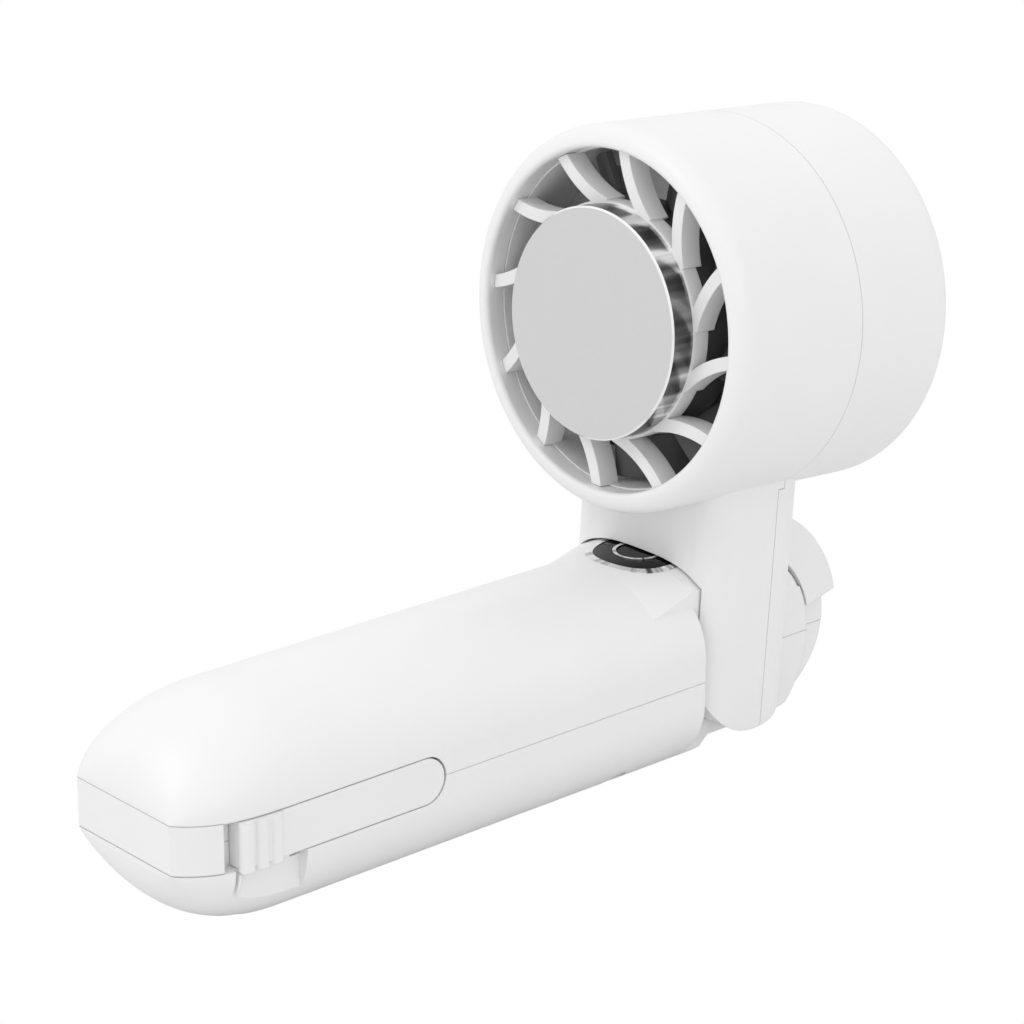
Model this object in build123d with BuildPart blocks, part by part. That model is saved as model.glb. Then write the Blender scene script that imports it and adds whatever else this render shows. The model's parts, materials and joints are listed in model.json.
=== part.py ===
from build123d import *
import math
import os

# Folding handheld fan. The handle lies level on its back with the butt towards -Y, and the round
# fan head stands up at the +Y end. +X is along the hinge. The origin is on the flat of the back.
# Head and handle are both modelled about the hinge and then placed; the head leans back a little.

# Head
DUCT_R = 32.0            # outer radius of the round duct
DUCT_Z = 58.6            # duct axis above the hinge
DUCT_FRONT = -24.0
DUCT_BACK = 26.2
DUCT_SEAM = 3.5          # joint between front and rear shells on the duct
NECK_SEAM = 2.2          # the same joint on the neck
SHELL = 2.0              # head wall thickness
LIP_R = 28.25            # air outlet radius
PLATE_R = 19.15          # cooling plate radius
PLATE_FRONT = -26.6      # the cooling plate stands ahead of the duct
HUB_R = 19.6             # stator hub outer radius
HUB_BACK = -19.2
VANE_BACK = -18.2
CUP_BACK = -12.6         # back of the dark cup behind the hub, and the motor's mounting face
VANES = 12
BLADES = 9
BLADE_R = 27.3
ROTOR_BACK = 0.9         # back face of the rotor's steel yoke
LEAN = 3.73              # degrees the head leans back from upright

# Neck and fork
NECK_W = 17.8            # half width
NECK_FRONT = -11.6
NECK_BACK = 9.3
FORK_X = 12.8            # inner face of each fork arm
ARM_R = 11.6             # rounded lower end of each arm
FRONT_WALL = 2.7
SWING_H = 24.6           # height of the space kept free for the hinge tongue
SEAM_GAP = 0.035         # half width of the fine line along each parting joint

# Handle, measured from the hinge
HINGE_Y = 62.0
HINGE_Z = 18.3
BUTT = -117.5
BUTT_START = -96.7       # where the butt starts to round over
BUTT_TURN = 86.5         # degrees of its quarter turn before the flat end
END_HALF_W = 11.76       # half width of the flat end
NOTCH = -11.8            # where the full handle section stops
HALF_W = 17.7
TOP_H = 18.1
BACK_H = 18.7
BAND_H = 4.14            # half height of the straight side, the butt band and the side clip
WALL = 2.2
CROWN = 3.0              # squareness of the hump at the handle's hinge end
HUMP_X = 14.3            # half width of the hump
HUMP_START = -21.0
HUMP_BACK = -9.0
TONGUE_X = 12.3
TONGUE_R = 23.7
TAIL_STEP = 1.7          # the tail is this much narrower than the tongue on each side
FLANGE_R = 18.5          # inner radius of the guard's side flanges, which pass beside the tail
PIN_R = 3.0
FIT = 0.03               # radial clearance of fixed round parts
RUN = 0.06               # radial clearance of turning round parts

DIAL_Y = -10.9           # centre of the round control window and the button
WINDOW_R = 7.6
TRIM_R = 8.8
BUTTON_R = 3.6

CLIP_PIVOT = (16.1, -73.0)
CLIP_END = -108.6
CLIP_H = 3.86            # half height of the side clip

HEAD_POSE = Location((0, HINGE_Y, HINGE_Z), (-LEAN, 0, 0))
GRIP_POSE = Location((0, HINGE_Y, HINGE_Z))
DUCT_AXIS = Axis((0, 0, DUCT_Z), (0, 1, 0))
SIDE = Plane.YZ


def across_duct(y):
    """Plane across the duct at y, facing the front, centred on the duct axis."""
    return Plane(origin=(0, y, DUCT_Z), x_dir=(1, 0, 0), z_dir=(0, -1, 0))


def across_grip(y):
    """Plane across the handle at y, facing the butt."""
    return Plane(origin=(0, y, 0), x_dir=(1, 0, 0), z_dir=(0, -1, 0))


def duct_ring(y_front, y_back, r_in, r_out, mode=Mode.ADD):
    """Ring about the duct axis, for the open part."""
    with BuildSketch(across_duct(y_back)) as ring:
        Circle(r_out)
        if r_in > 0:
            Circle(r_in, mode=Mode.SUBTRACT)
    extrude(ring.sketch, amount=y_back - y_front, mode=mode)


def duct_hole(y_front, y_back, r):
    """Round hole along the duct axis, cut from the open part."""
    duct_ring(y_front, y_back, 0, r, mode=Mode.SUBTRACT)


def block(x, y, z, mode=Mode.ADD):
    """Box between pairs of limits, for the open part."""
    with Locations(((x[0] + x[1]) / 2, (y[0] + y[1]) / 2, (z[0] + z[1]) / 2)):
        Box(x[1] - x[0], y[1] - y[0], z[1] - z[0], mode=mode)


def rod(centre, r, z, mode=Mode.ADD):
    """Upright cylinder between two heights, for the open part."""
    with Locations((centre[0], centre[1], (z[0] + z[1]) / 2)):
        Cylinder(r, z[1] - z[0], mode=mode)


def cross_rod(r, half_length, mode=Mode.ADD):
    """Cylinder on the hinge axis, for the open part."""
    Cylinder(r, 2 * half_length, rotation=(0, 90, 0), mode=mode)


def half_oval(half_w, height, base, power):
    """Points of half a superellipse standing on base; power 2 is an ellipse, more is squarer."""
    points = []
    for step in range(13):
        angle = math.radians(15 * step)
        across = math.copysign(abs(math.cos(angle)) ** (2 / power), math.cos(angle))
        points.append((half_w * across, base + height * math.sin(angle) ** (2 / power)))
    points[-1] = (-half_w, base)
    return points


def grip_section(y, half_w, top, back, power=2.0):
    """Handle section at y: short straight sides with an oval above and below."""
    with BuildSketch(across_grip(y)) as section:
        with BuildLine():
            upper = half_oval(half_w, top - BAND_H, BAND_H, power)
            lower = half_oval(-half_w, BAND_H - back, -BAND_H, 2.0)
            Spline(upper, tangents=[(0, 1), (0, -1)], tangent_scalars=[1, 1])
            Line((-half_w, BAND_H), (-half_w, -BAND_H))
            Spline(lower, tangents=[(0, -1), (0, 1)], tangent_scalars=[1, 1])
            Line((half_w, -BAND_H), (half_w, BAND_H))
        make_face()
    return section.sketch


def butt_y(angle):
    """Distance along the handle of the butt's section at an angle round its quarter turn."""
    return BUTT_START + (BUTT - BUTT_START) * math.sin(math.radians(angle))


def butt_half_width(angle):
    """The butt narrows in an S curve from the full handle to a flat end."""
    turn = (1 - math.cos(math.radians(angle))) ** 0.9
    return HALF_W - (HALF_W - END_HALF_W) * (3 * turn ** 2 - 2 * turn ** 3)


def grip_body(inset, last_angle, hinge_end):
    """Handle from its rounded butt to hinge_end, shrunk by inset all round."""
    full = (HALF_W - inset, TOP_H - inset, BACK_H - inset)
    straight_end = BUTT_START + 5.2
    sections = [grip_section(straight_end, *full)]
    for step in range(7):
        angle = last_angle * step / 6
        bulge = math.cos(math.radians(angle))
        top = BAND_H + (TOP_H - BAND_H) * bulge
        back = BAND_H + (BACK_H - BAND_H) * bulge
        half_w = butt_half_width(angle)
        sections.append(grip_section(butt_y(angle), half_w - inset, top - inset, back - inset))
    with BuildPart() as body:
        extrude(grip_section(hinge_end, *full), amount=hinge_end - straight_end)
        loft(sections)
    return body.part


def crown(inset, y_front, y_back):
    """Bar with the handle's section at the hinge end."""
    with BuildPart() as bar:
        section = grip_section(y_back, HALF_W - inset, TOP_H - inset, BACK_H - inset, CROWN)
        extrude(section, amount=y_back - y_front)
    return bar.part


def tongue(half_w, inset, front):
    """Hinge tongue between the fork arms: a crowned barrel over the hinge and a rounded tail."""
    reach = TONGUE_R - inset
    floor = -12.9 + inset
    with BuildPart() as barrel:
        with BuildSketch(Plane.XY):
            with BuildLine():
                Polyline((half_w, 17.8 - inset), (half_w, 0), (-half_w, 0), (-half_w, 17.8 - inset))
                ThreePointArc((-half_w, 17.8 - inset), (0, 19.9 - inset), (half_w, 17.8 - inset))
            make_face()
        revolve(axis=Axis.X)
        block((-half_w, half_w), (front, -8.7), (0, 25))
        block((-30, 30), (-30, 30), (-30, 0), mode=Mode.SUBTRACT)
        block((-30, 30), (-40, front), (-30, 30), mode=Mode.SUBTRACT)
    with BuildPart() as body:
        with BuildSketch(SIDE):
            with BuildLine():
                Polyline((8.0, floor), (-5.5, floor), (-9.0, -15.8 + inset), (front, -17.9 + inset))
                Line((front, -17.9 + inset), (front, 8.6 - inset))
                ThreePointArc((8.0, floor), (17.2, -10.4 + inset), (reach - 0.9, -3.5))
                ThreePointArc((reach - 0.9, -3.5), (reach, 1.0), (22.0 - inset, 8.6 - inset))
                Line((22.0 - inset, 8.6 - inset), (front, 8.6 - inset))
            make_face()
        extrude(amount=half_w, both=True)
        add(barrel.part)
        add(crown(inset, -30, 30), mode=Mode.INTERSECT)
        with BuildPart(mode=Mode.PRIVATE) as tail_sides:
            cross_rod(30, half_w + 1)
            cross_rod(FLANGE_R - 0.3 - inset, 20, mode=Mode.SUBTRACT)
            block((TAIL_STEP - half_w, half_w - TAIL_STEP), (-40, 40), (-40, 40), mode=Mode.SUBTRACT)
            block((-20, 20), (3, 40), (-40, 40), mode=Mode.INTERSECT)
        add(tail_sides.part, mode=Mode.SUBTRACT)
    return body.part


def clip_outline(gap, end_gap, swing_gap=0):
    """Side view of the clip: a straight strip with one round end, grown by gap."""
    pivot = CLIP_PIVOT[1] + swing_gap
    end = CLIP_END - end_gap
    with BuildSketch() as outline:
        with Locations(((end + pivot) / 2, 0)):
            Rectangle(pivot - end, 2 * (CLIP_H + gap))
        with Locations((pivot, 0)):
            Circle(CLIP_H + gap)
    return outline.sketch


# ---------------------------------------------------------------- handle shells
outer = grip_body(0, BUTT_TURN, HUMP_START)
hollow = grip_body(WALL, 50, NOTCH - WALL)
SCREWS = [(-11.6, -27.0), (11.6, -27.0), (-8.4, -104.0), (8.4, -104.0)]

with BuildPart() as hinge_end:
    extrude(grip_section(NOTCH, HALF_W, TOP_H, BACK_H), amount=NOTCH - HUMP_START)
    block((-HUMP_X, HUMP_X), (-30, 0), (5, 30), mode=Mode.SUBTRACT)
    with BuildPart(mode=Mode.PRIVATE) as hump:
        oval = grip_section(HUMP_START, HALF_W, TOP_H, BACK_H)
        loft([oval, grip_section(NOTCH, HALF_W, TOP_H, BACK_H, CROWN)])
        add(crown(0, NOTCH, HUMP_BACK))
        block((-HUMP_X, HUMP_X), (-30, 0), (5, 30), mode=Mode.INTERSECT)
        cross_rod(ARM_R + 0.2, 20, mode=Mode.SUBTRACT)
    add(hump.part)

with BuildPart() as skin:
    add(outer)
    add(hinge_end.part)
    add(tongue(TONGUE_X, 0, NOTCH - 0.5))

with BuildPart() as cavity:
    add(hollow)
    add(tongue(TONGUE_X - WALL, WALL, NOTCH - 4))
    block((10.4, 30), (-118, -62), (-30, 30), mode=Mode.SUBTRACT)
    for spot in SCREWS:
        rod(spot, 3.0, (-30, 30), mode=Mode.SUBTRACT)

with BuildPart() as clip_slot:
    with BuildSketch(SIDE.offset(14.3)):
        add(clip_outline(0.2, 2.4, 0.22))
    extrude(amount=6)
    with BuildPart(mode=Mode.PRIVATE) as pivot_pocket:
        rod(CLIP_PIVOT, 4.65, (-CLIP_H - 0.14, CLIP_H + 0.14))
        block((14.9, 30), (-80, -60), (-10, 10), mode=Mode.SUBTRACT)
    add(pivot_pocket.part)

band_angles = (43.2, 50.5, 57.7, 65, 72.1, 79.3, BUTT_TURN)
band_edge = [(butt_half_width(angle), butt_y(angle)) for angle in band_angles]


def band_inner_edge():
    """Inner edge of the butt band, for the open line."""
    Line((0, BUTT + 1.5), (10.9, BUTT + 1.5))
    Spline((10.9, BUTT + 1.5), (12.9, -113.9), (14.6, -111.2), (15.2, -110.2))


with BuildPart() as band_space:
    with BuildSketch(Plane.XY.offset(-BAND_H)):
        with BuildLine():
            band_inner_edge()
            Polyline((15.2, -110.2), (18.05, -112.02), (18.05, -122), (0, -122), (0, BUTT + 1.5))
        make_face()
        mirror(about=Plane.YZ)
    extrude(amount=2 * BAND_H)

with BuildPart() as trim_region:
    rod((0, DIAL_Y), TRIM_R, (10, 22))
with BuildPart() as window_region:
    rod((0, DIAL_Y), WINDOW_R, (10, 22))

with BuildPart() as shell_blank:
    add(skin.part)
    add(cavity.part, mode=Mode.SUBTRACT)
    block((-30, 30), (-130, 40), (-30, -HINGE_Z), mode=Mode.SUBTRACT)
    cross_rod(PIN_R + FIT, 20, mode=Mode.SUBTRACT)
    add(clip_slot.part, mode=Mode.SUBTRACT)
    add(band_space.part, mode=Mode.SUBTRACT)
    rod(CLIP_PIVOT, 0.7 + FIT, (-5.7, 5.7), mode=Mode.SUBTRACT)
    block((-18.5, -9.8), (-99.6, -90.4), (-1.7, 1.7), mode=Mode.SUBTRACT)
    # finger scoop under the free end of the clip
    block((15.7, 20.6), (-108.2, -96.35), (-14, -3.9), mode=Mode.SUBTRACT)
    block((15.7, 20.6), (-109.2, -108.7), (-14, -3.9), mode=Mode.SUBTRACT)
    block((15.7, 20.6), (-109.2, -96.35), (-4.7, -3.9), mode=Mode.SUBTRACT)
    block((14.5, 16.1), (-98.2, -96.35), (-5.4, -3.9), mode=Mode.SUBTRACT)

shell_solid = shell_blank.part.solids().sort_by(SortBy.VOLUME)[-1]

with BuildPart() as window_skin:
    add(skin.part.moved(Location((0, 0, -1.2))))
    add(window_region.part, mode=Mode.INTERSECT)
with BuildPart() as trim_skin:
    add(skin.part.moved(Location((0, 0, -1.2))))
    add(trim_region.part, mode=Mode.INTERSECT)

with BuildPart() as handle_top_shell:
    add(shell_solid)
    block((-30, 30), (-130, 40), (-30, SEAM_GAP), mode=Mode.SUBTRACT)
    with BuildPart(mode=Mode.PRIVATE) as window_pocket:
        add(trim_region.part)
        add(trim_skin.part, mode=Mode.SUBTRACT)
    add(window_pocket.part, mode=Mode.SUBTRACT)
    rod((0, DIAL_Y), BUTTON_R + 0.1, (8, 20), mode=Mode.SUBTRACT)
    rod((0, DIAL_Y), BUTTON_R + 0.9, (8, 13.3), mode=Mode.SUBTRACT)
    block((-2.6, 2.6), (-17.0, -15.2), (8, 20), mode=Mode.SUBTRACT)
    for spot in SCREWS:
        rod(spot, 0.9, (0, 9), mode=Mode.SUBTRACT)

with BuildPart() as handle_bottom_shell:
    add(shell_solid)
    block((-30, 30), (-130, 40), (-SEAM_GAP, 30), mode=Mode.SUBTRACT)
    for spot in SCREWS:
        rod(spot, 1.2 + FIT, (-30, 0), mode=Mode.SUBTRACT)
        rod(spot, 2.1, (-30, -12), mode=Mode.SUBTRACT)

with BuildPart() as handle_screws:
    for spot in SCREWS:
        rod(spot, 1.2, (-12, 0))
        rod(spot, 0.9 - FIT, (0, 8))
        rod(spot, 2.0, (-13.4, -12))

with BuildPart() as butt_band:
    with BuildSketch(Plane.XY.offset(0.16 - BAND_H)):
        with BuildLine():
            band_inner_edge()
            Line((15.2, -110.2), band_edge[0])
            Spline(band_edge)
            Polyline(band_edge[-1], (0, band_edge[-1][1]), (0, BUTT + 1.5))
        make_face()
        mirror(about=Plane.YZ)
    extrude(amount=2 * BAND_H - 0.26)

with BuildPart() as control_window:
    add(skin.part)
    add(window_region.part, mode=Mode.INTERSECT)
    add(window_skin.part, mode=Mode.SUBTRACT)
    rod((0, DIAL_Y), BUTTON_R + 0.75, (8, 20), mode=Mode.SUBTRACT)

with BuildPart() as window_trim:
    with BuildPart(mode=Mode.PRIVATE) as raised_skin:
        add(skin.part.moved(Location((0, 0, 0.12))))
        add(skin.part.moved(Location((0, 0, -1.0))), mode=Mode.SUBTRACT)
    add(trim_region.part)
    add(window_region.part, mode=Mode.SUBTRACT)
    add(raised_skin.part, mode=Mode.INTERSECT)

with BuildPart() as button_ring:
    rod((0, DIAL_Y), BUTTON_R + 0.7, (TOP_H - 1.15, TOP_H + 0.16))
    rod((0, DIAL_Y), BUTTON_R + 0.1, (8, 20), mode=Mode.SUBTRACT)

with BuildPart() as power_button:
    rod((0, DIAL_Y), BUTTON_R, (12.4, TOP_H + 0.05))
    rod((0, DIAL_Y), BUTTON_R + 0.7, (12.2, 13.0))
    fillet(power_button.edges().group_by(Axis.Z)[-1], 0.4)

# ---------------------------------------------------------------- handle insides
with BuildPart() as main_pcb:
    block((-8.2, 8.2), (-30, -6.2), (7.5, 8.7))
with BuildPart() as led_display:
    block((-2.5, 2.5), (-16.9, -15.3), (8.7, 15.4))
with BuildPart() as tactile_switch:
    block((-3, 3), (DIAL_Y - 3, DIAL_Y + 3), (8.7, 10.9))
    rod((0, DIAL_Y), 1.7, (10.9, 11.5))

BATTERY_AXIS = Plane(origin=(0, -32, -1), x_dir=(1, 0, 0), z_dir=(0, -1, 0))
with BuildPart() as battery_cell:
    with BuildSketch(BATTERY_AXIS):
        Circle(9.1)
    extrude(amount=65)
    fillet(battery_cell.edges().filter_by(GeomType.CIRCLE), 0.6)
    with BuildSketch(BATTERY_AXIS.offset(65)):
        Circle(2.8)
    extrude(amount=1.2)

with BuildPart() as battery_cradle:
    for y in (-86, -44):
        block((-10.4, 10.4), (y - 1.5, y + 1.5), (-15.5, -3))
    with BuildPart(mode=Mode.PRIVATE) as cell_space:
        with BuildSketch(BATTERY_AXIS.offset(-2)):
            Circle(9.1 + FIT)
        extrude(amount=70)
    add(cell_space.part, mode=Mode.SUBTRACT)
    add(grip_body(WALL + 0.05, 50, NOTCH), mode=Mode.INTERSECT)

with BuildPart() as usb_c_port:
    with BuildSketch(SIDE.offset(-10)):
        with Locations((-95, 0)):
            RectangleRounded(8.9, 3.2, 1.5)
            RectangleRounded(8.2, 2.5, 1.2, mode=Mode.SUBTRACT)
    extrude(amount=-7.4)
    block((-17.0, -10), (-98.2, -91.8), (-0.35, 0.35))
    block((-10.6, -10), (-98.6, -91.4), (-1.3, 1.3))
with BuildPart() as charge_board:
    block((-15.3, -9.9), (-101, -89), (-2.75, -1.75))

with BuildPart() as hinge_pin:
    cross_rod(PIN_R, 15.8)
    cross_rod(1.8, 16, mode=Mode.SUBTRACT)
with BuildPart() as friction_washers:
    cross_rod(8.0, FORK_X - 0.04)
    cross_rod(PIN_R + FIT, 20, mode=Mode.SUBTRACT)
    block((-TONGUE_X - 0.02, TONGUE_X + 0.02), (-10, 10), (-10, 10), mode=Mode.SUBTRACT)

# ---------------------------------------------------------------- side clip
with BuildPart() as side_clip:
    with BuildSketch(Plane.XY.offset(-10)):
        with BuildLine():
            Polyline((17.1, -108.8), (14.5, -108.8), (14.5, -68), (HALF_W, -68), (HALF_W, BUTT_START))
            Spline((HALF_W, BUTT_START), (17.75, -103.8), (17.1, -108.8), tangents=[(0, -1), (-0.25, -1)])
        make_face()
    extrude(amount=20)
    with BuildSketch(SIDE.offset(10)):
        add(clip_outline(0, 0))
    extrude(amount=10, mode=Mode.INTERSECT)
    for ridge in range(3):
        y = CLIP_END + 1.2 + 2.7 * ridge
        with BuildSketch(Plane.XY.offset(-CLIP_H - 0.5)):
            with Locations((17.05, y)):
                Circle(1.3)
        extrude(amount=2 * CLIP_H + 0.5)
    rod(CLIP_PIVOT, 1.55, (-3.5, 3.5))
    rod(CLIP_PIVOT, 0.7 + RUN, (-6, 6), mode=Mode.SUBTRACT)
with BuildPart() as clip_pin:
    rod(CLIP_PIVOT, 0.7, (-5.6, 5.6))

# ---------------------------------------------------------------- head shells
with BuildPart() as head_blank:
    duct_ring(DUCT_FRONT, DUCT_BACK, 0, DUCT_R)
    fillet(head_blank.edges().group_by(Axis.Y)[0], 3.2)
    fillet(head_blank.edges().group_by(Axis.Y)[-1], 3.8)
    with BuildPart(mode=Mode.PRIVATE) as neck:
        with BuildSketch(Plane.XY.offset(-14)):
            with Locations((0, (NECK_FRONT + NECK_BACK) / 2)):
                RectangleRounded(2 * NECK_W, NECK_BACK - NECK_FRONT, 5.2)
        extrude(amount=60)
        with BuildSketch(SIDE):
            with BuildLine():
                Polyline((0, -ARM_R), (0, -20), (-30, -20), (-30, 50), (NECK_FRONT, 50), (NECK_FRONT, 0))
                ThreePointArc((NECK_FRONT, 0), (-ARM_R * 0.7071, -ARM_R * 0.7071), (0, -ARM_R))
            make_face()
            with BuildLine():
                Polyline((0, -ARM_R), (0, -20), (30, -20), (30, 50), (NECK_BACK, 50), (NECK_BACK, 14.4), (8.2, -8.2))
                ThreePointArc((8.2, -8.2), (4.6, -10.65), (0, -ARM_R))
            make_face()
        extrude(amount=30, both=True, mode=Mode.SUBTRACT)
    add(neck.part)
    duct_hole(-20.2, DUCT_BACK - SHELL, DUCT_R - SHELL)
    duct_hole(-30, 0, LIP_R)
    duct_hole(0, 30, 27.0)
    lip_edges = head_blank.edges().filter_by(GeomType.CIRCLE).group_by(Axis.Y)[0]
    fillet(lip_edges.sort_by(SortBy.RADIUS)[0], 0.8)

with BuildPart() as fork_space:
    block((-FORK_X, FORK_X), (NECK_FRONT + FRONT_WALL, 30), (-30, SWING_H))
    with BuildPart(mode=Mode.PRIVATE) as lip:
        add(crown(-0.35, -25, -7.5).rotate(Axis.X, LEAN))
        block((-30, -HUMP_X - 0.3), (-40, 10), (-40, 40), mode=Mode.SUBTRACT)
        block((HUMP_X + 0.3, 30), (-40, 10), (-40, 40), mode=Mode.SUBTRACT)
        with BuildPart(mode=Mode.PRIVATE) as arm_ends:
            cross_rod(ARM_R + 0.05, 20)
            block((-30, 30), (-30, 0), (-30, 0))
            block((-FORK_X, FORK_X), (-30, 30), (-30, 30), mode=Mode.SUBTRACT)
        add(arm_ends.part, mode=Mode.SUBTRACT)
    add(lip.part)

with BuildPart() as guard_sector:
    with BuildSketch(SIDE):
        with BuildLine():
            Polyline((0, 0), (40, 40 * math.tan(math.radians(18))), (40, 60), (4.2, 60), (0, 0))
        make_face()
    extrude(amount=20, both=True)

with BuildPart() as guard_space:
    cross_rod(25.5, 12.6)
    cross_rod(23.9, 14, mode=Mode.SUBTRACT)
    add(guard_sector.part, mode=Mode.INTERSECT)

with BuildPart() as head_body:
    add(head_blank.part)
    add(fork_space.part, mode=Mode.SUBTRACT)
    add(guard_space.part, mode=Mode.SUBTRACT)
    cross_rod(PIN_R + RUN, 16.0, mode=Mode.SUBTRACT)

with BuildPart() as front_space:
    block((-60, 60), (-60, NECK_SEAM - SEAM_GAP), (-60, 30.6 - SEAM_GAP))
    block((-60, 60), (-60, DUCT_SEAM - SEAM_GAP), (30.6 - SEAM_GAP, 120))
with BuildPart() as front_and_seam:
    block((-60, 60), (-60, NECK_SEAM + SEAM_GAP), (-60, 30.6 + SEAM_GAP))
    block((-60, 60), (-60, DUCT_SEAM + SEAM_GAP), (30.6 - 3 * SEAM_GAP, 120))

with BuildPart() as head_front_shell:
    add(head_body.part)
    add(front_space.part, mode=Mode.INTERSECT)
with BuildPart() as head_rear_shell:
    add(head_body.part)
    add(front_and_seam.part, mode=Mode.SUBTRACT)

with BuildPart() as hinge_guard:
    cross_rod(25.4, 12.5)
    cross_rod(24.0, 10.9, mode=Mode.SUBTRACT)
    cross_rod(FLANGE_R, 14, mode=Mode.SUBTRACT)
    add(guard_sector.part, mode=Mode.INTERSECT)

# ---------------------------------------------------------------- air path
with BuildPart() as duct_liner:
    duct_ring(-8.9, DUCT_BACK - SHELL, 28.0, DUCT_R - SHELL - FIT)

with BuildSketch() as vane_shape:
    with BuildLine():
        ThreePointArc((14.9, 24.9), (13.85, 18.9), (14.9, 11.6))
    trace(line_width=2.2)
with BuildPart() as stator_vane_ring:
    duct_ring(-20.1, -9.0, 28.0, DUCT_R - SHELL - FIT)
    duct_ring(-22.2, HUB_BACK, 17.7, HUB_R)
    with BuildSketch(across_duct(VANE_BACK)):
        with PolarLocations(0, VANES):
            add(vane_shape.sketch)
        Circle(28.15, mode=Mode.INTERSECT)
        Circle(HUB_R - 0.25, mode=Mode.SUBTRACT)
    extrude(amount=VANE_BACK + 22.2)

with BuildPart() as motor_cup:
    duct_ring(HUB_BACK, CUP_BACK, 17.7, HUB_R - 0.3)
    duct_ring(CUP_BACK - 1.5, CUP_BACK, 0, 18)
    duct_ring(CUP_BACK, CUP_BACK + 11.7, 0, 3.4)
    duct_hole(CUP_BACK, CUP_BACK + 11.7, 1.8)

with BuildPart() as cooling_plate:
    duct_ring(PLATE_FRONT, -22.2, 0, PLATE_R)
    chamfer(cooling_plate.edges().group_by(Axis.Y)[0], 0.3)
with BuildPart() as thermal_pad:
    block((-10.2, 10.2), (-22.2, -21.7), (DUCT_Z - 10.2, DUCT_Z + 10.2))
with BuildPart() as peltier_module:
    block((-10, 10), (-21.7, -20.9), (DUCT_Z - 10, DUCT_Z + 10))
    block((-10, 10), (-19.5, -18.7), (DUCT_Z - 10, DUCT_Z + 10))
    for column in range(6):
        for row in range(6):
            x = -7.75 + 3.1 * column
            z = DUCT_Z - 7.75 + 3.1 * row
            block((x - 0.7, x + 0.7), (-20.9, -19.5), (z - 0.7, z + 0.7))
with BuildPart() as heat_sink:
    duct_ring(-18.7, -17.5, 0, 17.7 - FIT)
    for fin in range(9):
        x = -12.8 + 3.2 * fin
        reach = math.sqrt(16.6 ** 2 - x ** 2)
        block((x - 0.5, x + 0.5), (-17.5, CUP_BACK - 1.5), (DUCT_Z - reach, DUCT_Z + reach))

with BuildPart() as rear_grille:
    duct_ring(DUCT_BACK - SHELL, DUCT_BACK - 0.4, 25.6, 27.0 - FIT)
    duct_ring(DUCT_BACK - SHELL, DUCT_BACK - 0.4, 0, 7)
    for r in (10.5, 14.3, 18.1, 21.9):
        duct_ring(DUCT_BACK - SHELL, DUCT_BACK - 0.6, r - 0.6, r + 0.6)
    with BuildSketch(across_duct(DUCT_BACK - 0.5)):
        with PolarLocations(0, 12):
            with Locations((16, 0)):
                Rectangle(20.4, 1.3)
    extrude(amount=1.4)

# ---------------------------------------------------------------- motor and rotor
with BuildPart() as motor_board:
    duct_ring(CUP_BACK, CUP_BACK + 1.1, 3.4 + FIT, 13)
with BuildPart() as motor_stator:
    duct_ring(CUP_BACK + 2.6, CUP_BACK + 8.1, 3.4 + FIT, 5.4)
    with BuildSketch(across_duct(CUP_BACK + 8.1)):
        with PolarLocations(0, 9):
            with Locations((8.2, 0)):
                Rectangle(6.4, 1.5)
        with PolarLocations(10.7, 9):
            Rectangle(1.3, 5.6)
        Circle(11.4, mode=Mode.INTERSECT)
    extrude(amount=5.5)
    duct_hole(CUP_BACK, CUP_BACK + 10, 3.4 + FIT)
with BuildPart() as motor_windings:
    with BuildSketch(across_duct(CUP_BACK + 8.9)):
        with PolarLocations(7.9, 9):
            RectangleRounded(3.2, 3.6, 0.6)
            Rectangle(3.4, 1.5 + 2 * FIT, mode=Mode.SUBTRACT)
        Circle(5.6, mode=Mode.SUBTRACT)
    extrude(amount=7.1)
with BuildPart() as motor_bearings:
    duct_ring(CUP_BACK + 0.5, CUP_BACK + 2.7, 1.0 + RUN, 1.8 - FIT)
    duct_ring(CUP_BACK + 9.3, CUP_BACK + 11.5, 1.0 + RUN, 1.8 - FIT)
with BuildPart() as motor_shaft:
    duct_ring(CUP_BACK + 0.3, ROTOR_BACK + 3.0, 0, 1.0)
with BuildPart() as magnet_ring:
    duct_ring(CUP_BACK + 2.1, CUP_BACK + 9.1, 11.8, 13.2)
with BuildPart() as rotor_yoke:
    duct_ring(CUP_BACK + 1.5, ROTOR_BACK - 1.0, 13.2 + FIT, 14.2)
    duct_ring(ROTOR_BACK - 1.0, ROTOR_BACK, 1.0 + FIT, 14.2)

with BuildSketch() as blade_shape:
    with BuildLine():
        ThreePointArc((-6.9, -5.8), (-2.4, 1.3), (6.2, 6.0))
    trace(line_width=1.3)
with BuildPart() as blade:
    with BuildSketch(Plane(origin=(15, -9.9, DUCT_Z), x_dir=(0, 1, 0), z_dir=(1, 0, 0))):
        add(blade_shape.sketch)
    extrude(amount=14)
    with BuildPart(mode=Mode.PRIVATE) as sweep_ring:
        duct_ring(-19, 2, 15.0, BLADE_R)
        duct_hole(-19, CUP_BACK + 1.1, HUB_R + 0.4)
    add(sweep_ring.part, mode=Mode.INTERSECT)
with BuildPart() as impeller:
    duct_ring(CUP_BACK + 1.1, ROTOR_BACK + 1.6, 14.2 + FIT, 15.8)
    duct_ring(ROTOR_BACK, ROTOR_BACK + 1.6, 1.0 + FIT, 15.0)
    duct_ring(ROTOR_BACK + 1.6, ROTOR_BACK + 3.2, 1.0 + FIT, 3.0)
    for turn in range(BLADES):
        add(blade.part.rotate(DUCT_AXIS, 360 / BLADES * turn))

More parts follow.
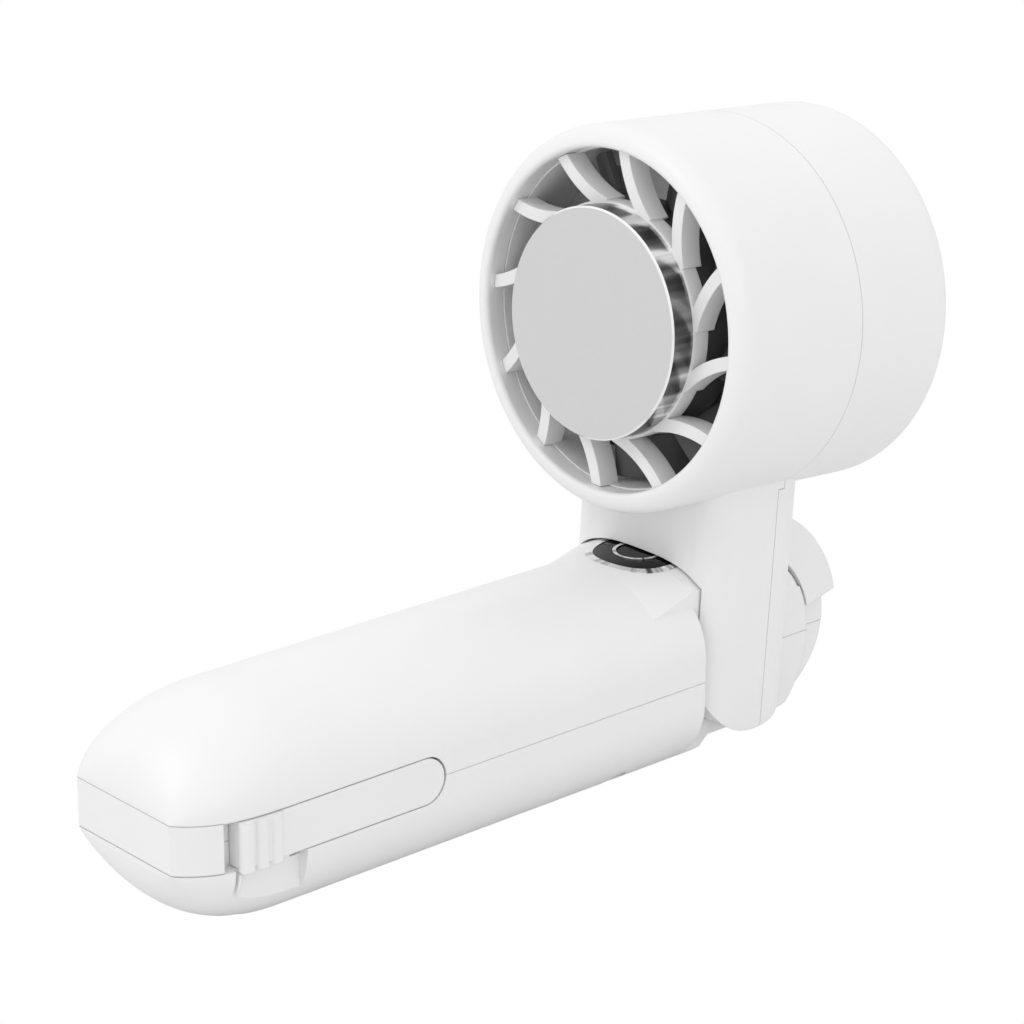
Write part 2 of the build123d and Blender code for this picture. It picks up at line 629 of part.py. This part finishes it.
parts_on_grip = {
    "handle_top_shell": handle_top_shell,
    "handle_bottom_shell": handle_bottom_shell,
    "handle_screws": handle_screws,
    "butt_band": butt_band,
    "control_window": control_window,
    "window_trim": window_trim,
    "button_ring": button_ring,
    "power_button": power_button,
    "main_pcb": main_pcb,
    "led_display": led_display,
    "tactile_switch": tactile_switch,
    "battery_cell": battery_cell,
    "battery_cradle": battery_cradle,
    "usb_c_port": usb_c_port,
    "charge_board": charge_board,
    "hinge_pin": hinge_pin,
    "friction_washers": friction_washers,
    "side_clip": side_clip,
    "clip_pin": clip_pin,
}
parts_on_head = {
    "head_front_shell": head_front_shell,
    "head_rear_shell": head_rear_shell,
    "hinge_guard": hinge_guard,
    "duct_liner": duct_liner,
    "stator_vane_ring": stator_vane_ring,
    "motor_cup": motor_cup,
    "cooling_plate": cooling_plate,
    "thermal_pad": thermal_pad,
    "peltier_module": peltier_module,
    "heat_sink": heat_sink,
    "rear_grille": rear_grille,
    "motor_board": motor_board,
    "motor_stator": motor_stator,
    "motor_windings": motor_windings,
    "motor_bearings": motor_bearings,
    "motor_shaft": motor_shaft,
    "magnet_ring": magnet_ring,
    "rotor_yoke": rotor_yoke,
    "impeller": impeller,
}

os.makedirs("parts", exist_ok=True)
for pose, pieces in ((GRIP_POSE, parts_on_grip), (HEAD_POSE, parts_on_head)):
    for name, piece in pieces.items():
        placed = piece.part.moved(pose)
        placed.label = name
        export_step(placed, f"parts/{name}.step")
        print(name, round(placed.volume, 1), len(placed.solids()), placed.is_valid)
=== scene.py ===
import json
import math
import bpy
from mathutils import Matrix, Vector


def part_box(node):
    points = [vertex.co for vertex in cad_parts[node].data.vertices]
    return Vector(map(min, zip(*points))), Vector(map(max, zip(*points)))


# Looks, light and camera for the folding handheld fan. Every visible shape is a CAD node: this
# script gives each one a procedural finish and sets up the studio round it. Lengths are in metres.

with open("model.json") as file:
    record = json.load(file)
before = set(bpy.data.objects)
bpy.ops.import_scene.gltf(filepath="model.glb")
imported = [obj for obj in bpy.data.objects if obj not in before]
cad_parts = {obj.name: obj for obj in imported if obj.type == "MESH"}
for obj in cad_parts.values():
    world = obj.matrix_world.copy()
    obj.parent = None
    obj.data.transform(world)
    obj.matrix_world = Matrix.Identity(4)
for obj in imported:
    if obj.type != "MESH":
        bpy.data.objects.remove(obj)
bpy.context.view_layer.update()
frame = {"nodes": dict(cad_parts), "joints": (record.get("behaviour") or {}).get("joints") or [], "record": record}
nodes = frame["nodes"]
joints = {joint["name"]: joint for joint in frame["joints"]}
scene = bpy.context.scene

NEUTRAL = (1.0, 1.0, 1.0)
SHELL_WHITE = (1.0, 1.0, 0.998)
SOFT_EDGE = 0.0002           # radius that catches the light along moulded edges
MOULD_BUMP = 0.00004
METAL_BUMP = 0.00003
POLISHED_BUMP = 0.00002

CAMERA_PLACE = Vector((0.3785, -0.3179, 0.2327))
CAMERA_TARGET = Vector((-0.0147, 0.0358, 0.0430))
CAMERA_LENS = 117.7          # mm, on a 36 mm sensor
CAMERA_ROLL = 0.37           # degrees
SKY_STRENGTH = 1.06
LAMP_SIZE = 0.6
FLOOR_DROP = 0.0002          # keeps the floor clear of the lowest shell


# ------------------------------------------------------------------ shader nodes
def new_material(name):
    material = bpy.data.materials.new(name)
    material.use_nodes = True
    tree = material.node_tree
    return material, tree, tree.nodes["Principled BSDF"]


def grey(level, tint=NEUTRAL):
    return (level * tint[0], level * tint[1], level * tint[2], 1)


def ramp(tree, value, stops):
    """Colour ramp through (position, colour) stops."""
    node = tree.nodes.new("ShaderNodeValToRGB")
    elements = node.color_ramp.elements
    elements[0].position, elements[0].color = stops[0]
    elements[1].position, elements[1].color = stops[-1]
    for position, colour in stops[1:-1]:
        elements.new(position).color = colour
    tree.links.new(value, node.inputs["Fac"])
    return node.outputs["Color"]


def noise(tree, scale, detail=3.0):
    coords = tree.nodes.new("ShaderNodeTexCoord")
    texture = tree.nodes.new("ShaderNodeTexNoise")
    texture.inputs["Scale"].default_value = scale
    texture.inputs["Detail"].default_value = detail
    tree.links.new(coords.outputs["Object"], texture.inputs["Vector"])
    return texture.outputs["Fac"]


def add_bump(tree, shader, height, strength, distance, soft_edge=0.0):
    """Surface grain, over edges that look rounded by soft_edge."""
    bump = tree.nodes.new("ShaderNodeBump")
    bump.inputs["Strength"].default_value = strength
    bump.inputs["Distance"].default_value = distance
    if soft_edge:
        rounded = tree.nodes.new("ShaderNodeBevel")
        rounded.samples = 6
        rounded.inputs["Radius"].default_value = soft_edge
        tree.links.new(rounded.outputs["Normal"], bump.inputs["Normal"])
    tree.links.new(height, bump.inputs["Height"])
    tree.links.new(bump.outputs["Normal"], shader.inputs["Normal"])


def angle_round(tree, centre, across, up):
    """Angle round a centre, in the plane of two object axes."""
    coords = tree.nodes.new("ShaderNodeTexCoord")
    centred = tree.nodes.new("ShaderNodeVectorMath")
    centred.operation = "SUBTRACT"
    centred.inputs[1].default_value = centre
    parts = tree.nodes.new("ShaderNodeSeparateXYZ")
    angle = tree.nodes.new("ShaderNodeMath")
    angle.operation = "ARCTAN2"
    tree.links.new(coords.outputs["Object"], centred.inputs[0])
    tree.links.new(centred.outputs["Vector"], parts.inputs[0])
    tree.links.new(parts.outputs[across], angle.inputs[0])
    tree.links.new(parts.outputs[up], angle.inputs[1])
    return angle.outputs[0]


def facing_along(tree, axis):
    """1 where a surface faces squarely along the axis, 0 where it runs beside it."""
    coords = tree.nodes.new("ShaderNodeTexCoord")
    facing = tree.nodes.new("ShaderNodeVectorMath")
    facing.operation = "DOT_PRODUCT"
    facing.inputs[1].default_value = axis
    square = tree.nodes.new("ShaderNodeMath")
    square.operation = "ABSOLUTE"
    tree.links.new(coords.outputs["Normal"], facing.inputs[0])
    tree.links.new(facing.outputs["Value"], square.inputs[0])
    return square.outputs[0]


def painted_reflection_bands(tree, angle, scale, detail):
    """Uneven bands that change only with the angle, painted as reflections."""
    lines = tree.nodes.new("ShaderNodeTexNoise")
    lines.noise_dimensions = "1D"
    lines.inputs["Scale"].default_value = scale
    lines.inputs["Detail"].default_value = detail
    lines.inputs["Roughness"].default_value = 0.62
    tree.links.new(angle, lines.inputs["W"])
    return lines.outputs["Fac"]


def mix_colour(tree, factor, a, b):
    node = tree.nodes.new("ShaderNodeMix")
    node.data_type = "RGBA"
    tree.links.new(factor, node.inputs["Factor"])
    tree.links.new(a, node.inputs["A"])
    tree.links.new(b, node.inputs["B"])
    return node.outputs["Result"]


# ------------------------------------------------------------------ finishes
def moulded(name, level, roughness, tint=NEUTRAL, grain=900.0, strength=0.05, shine=0.5):
    """Moulded plastic: a faint grain in the surface and a little unevenness in its gloss."""
    material, tree, shader = new_material(name)
    cloud = noise(tree, 60.0)
    colour = ramp(tree, cloud, [(0.3, grey(level * 0.985, tint)), (0.7, grey(level, tint))])
    gloss = ramp(tree, cloud, [(0.3, grey(roughness * 0.92)), (0.7, grey(roughness * 1.06))])
    tree.links.new(colour, shader.inputs["Base Color"])
    tree.links.new(gloss, shader.inputs["Roughness"])
    shader.inputs["Specular IOR Level"].default_value = shine
    add_bump(tree, shader, noise(tree, grain, 2.0), strength, MOULD_BUMP, SOFT_EDGE)
    return material


def metal(name, level, roughness, tint=NEUTRAL):
    """Plain metal, slightly uneven in colour, gloss and surface."""
    material, tree, shader = new_material(name)
    shader.inputs["Metallic"].default_value = 1.0
    lines = noise(tree, 1400.0, 4.0)
    colour = ramp(tree, lines, [(0.3, grey(level * 0.95, tint)), (0.7, grey(level, tint))])
    gloss = ramp(tree, lines, [(0.3, grey(roughness * 0.85)), (0.7, grey(roughness * 1.15))])
    tree.links.new(colour, shader.inputs["Base Color"])
    tree.links.new(gloss, shader.inputs["Roughness"])
    add_bump(tree, shader, lines, 0.1, METAL_BUMP)
    return material


def cold_plate(name):
    """Bead-blasted face, polished chamfer with a brighter colour that is partly a painted highlight, and a turned
    side with painted reflection bands along the axis.
    """
    material, tree, shader = new_material(name)
    shader.inputs["Metallic"].default_value = 1.0
    spin = joints["rotor_spin"]
    square = facing_along(tree, spin["axis"])
    # Painted reflections: the turned side runs from near black to near white in bands round the axis, standing in
    # for what it reflects.
    lines = painted_reflection_bands(tree, angle_round(tree, spin["pos_m"], "X", "Z"), 2.2, 3.5)
    side = ramp(tree, lines, [(0.36, grey(0.10)), (0.5, grey(0.34)), (0.62, grey(0.95))])
    face = ramp(tree, noise(tree, 1500.0, 2.0), [(0.3, grey(0.69)), (0.7, grey(0.70))])
    # Partly painted highlight: the chamfer is brighter than the face, for the bright line along its edge as well
    # as its polish.
    chamfer = tree.nodes.new("ShaderNodeRGB")
    chamfer.outputs[0].default_value = grey(0.92)
    on_face = ramp(tree, square, [(0.84, grey(0.0)), (0.9, grey(1.0))])
    on_side = ramp(tree, square, [(0.3, grey(1.0)), (0.5, grey(0.0))])
    rim = mix_colour(tree, on_side, chamfer.outputs[0], side)
    tree.links.new(mix_colour(tree, on_face, rim, face), shader.inputs["Base Color"])
    gloss = [(0.3, grey(0.24)), (0.5, grey(0.08)), (0.84, grey(0.08)), (0.9, grey(0.5))]
    tree.links.new(ramp(tree, square, gloss), shader.inputs["Roughness"])
    add_bump(tree, shader, noise(tree, 2600.0, 2.0), 0.03, POLISHED_BUMP)
    return material


def polished_ring(name):
    """Polished rings of the control dial: bright, with painted reflections as a few dark passages round them."""
    material, tree, shader = new_material(name)
    shader.inputs["Metallic"].default_value = 1.0
    shader.inputs["Roughness"].default_value = 0.06
    low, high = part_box("window_trim")
    # Painted reflections: the rings' colour runs from dark to bright in bands round the dial centre.
    lines = painted_reflection_bands(tree, angle_round(tree, (low + high) / 2, "X", "Y"), 1.7, 3.0)
    colour = ramp(tree, lines, [(0.36, grey(0.12)), (0.5, grey(0.9))])
    tree.links.new(colour, shader.inputs["Base Color"])
    add_bump(tree, shader, noise(tree, 800.0, 2.0), 0.01, POLISHED_BUMP)
    return material


looks = {
    "white_shell": moulded("white_shell", 0.84, 0.38, SHELL_WHITE),
    "white_inner": moulded("white_inner", 0.84, 0.40, SHELL_WHITE),
    "satin_aluminium": cold_plate("satin_aluminium"),
    "chrome_trim": polished_ring("chrome_trim"),
    "black_gloss": moulded("black_gloss", 0.006, 0.12, grain=500.0, strength=0.01, shine=0.1),
    "grey_rotor": moulded("grey_rotor", 0.085, 0.38),
    "steel": metal("steel", 0.6, 0.3),
    "heat_sink_metal": metal("heat_sink_metal", 0.62, 0.4),
    "ceramic": moulded("ceramic", 0.8, 0.5),
    "thermal_pad_grey": moulded("thermal_pad_grey", 0.3, 0.8),
    "board_green": moulded("board_green", 0.2, 0.35, (0.15, 0.9, 0.35)),
    "copper": metal("copper", 0.8, 0.3, (1.0, 0.55, 0.3)),
    "magnet_dark": metal("magnet_dark", 0.15, 0.5),
    "battery_wrap": moulded("battery_wrap", 0.3, 0.25, (0.2, 0.5, 1.0)),
    "dark_plastic": moulded("dark_plastic", 0.07, 0.4),
    "washer_pom": moulded("washer_pom", 0.7, 0.5),
    "display_red": moulded("display_red", 0.15, 0.2, (1.0, 0.1, 0.1)),
}

for entry in frame["record"]["subparts"]:
    node = nodes[entry["node"]]
    node.data.materials.clear()
    node.data.materials.append(looks[entry["material_slot"]])


# ------------------------------------------------------------------ floor and sky
def plain_to_camera(tree, lit, plain, target):
    """The camera sees the plain shader; every other ray meets the lit one."""
    path = tree.nodes.new("ShaderNodeLightPath")
    mix = tree.nodes.new("ShaderNodeMixShader")
    tree.links.new(path.outputs["Is Camera Ray"], mix.inputs["Fac"])
    tree.links.new(lit, mix.inputs[1])
    tree.links.new(plain, mix.inputs[2])
    tree.links.new(mix.outputs["Shader"], target)


bpy.ops.mesh.primitive_plane_add(size=6)
floor = bpy.context.object
floor.name = "floor"
floor.location.z = min(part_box(name)[0].z for name in nodes) - FLOOR_DROP
floor_look, floor_tree, floor_shader = new_material("floor")
floor_shader.inputs["Base Color"].default_value = grey(0.8)
floor_shader.inputs["Roughness"].default_value = 0.7
floor_white = floor_tree.nodes.new("ShaderNodeEmission")
floor_surface = floor_tree.nodes["Material Output"].inputs["Surface"]
plain_to_camera(floor_tree, floor_shader.outputs["BSDF"], floor_white.outputs["Emission"], floor_surface)
floor.data.materials.append(floor_look)

world = bpy.data.worlds.new("studio")
scene.world = world
world.use_nodes = True
sky = world.node_tree
soft_sky = sky.nodes["Background"]
soft_sky.inputs["Strength"].default_value = SKY_STRENGTH
backdrop = sky.nodes.new("ShaderNodeBackground")
backdrop.inputs["Color"].default_value = grey(1.0)
sky_surface = sky.nodes["World Output"].inputs["Surface"]
plain_to_camera(sky, soft_sky.outputs["Background"], backdrop.outputs["Background"], sky_surface)
sky_coords = sky.nodes.new("ShaderNodeTexCoord")
sky_parts = sky.nodes.new("ShaderNodeSeparateXYZ")
sky.links.new(sky_coords.outputs["Generated"], sky_parts.inputs[0])
sky_levels = [(0.0, grey(0.85)), (0.25, grey(0.92)), (1.0, grey(1.0))]
sky.links.new(ramp(sky, sky_parts.outputs["Z"], sky_levels), soft_sky.inputs["Color"])


# ------------------------------------------------------------------ lamps and camera
def soft_light(name, place, power):
    data = bpy.data.lights.new(name, "AREA")
    data.shape = "DISK"
    data.size = LAMP_SIZE
    data.energy = power
    lamp = bpy.data.objects.new(name, data)
    scene.collection.objects.link(lamp)
    lamp.location = place
    lamp.rotation_euler = (CAMERA_TARGET - Vector(place)).to_track_quat("-Z", "Y").to_euler()


soft_light("key", (-0.35, -0.75, 0.9), 1.8)
soft_light("fill", (0.9, -0.3, 0.5), 0.4)

camera = bpy.data.objects.new("camera", bpy.data.cameras.new("camera"))
scene.collection.objects.link(camera)
camera.data.lens = CAMERA_LENS
camera.data.sensor_width = 36.0
camera.data.clip_start = 0.01
camera.location = CAMERA_PLACE
look = (CAMERA_TARGET - CAMERA_PLACE).to_track_quat("-Z", "Y").to_matrix()
camera.rotation_euler = (look @ Matrix.Rotation(math.radians(CAMERA_ROLL), 3, "Z")).to_euler()
scene.camera = camera
scene.view_settings.view_transform = "Standard"
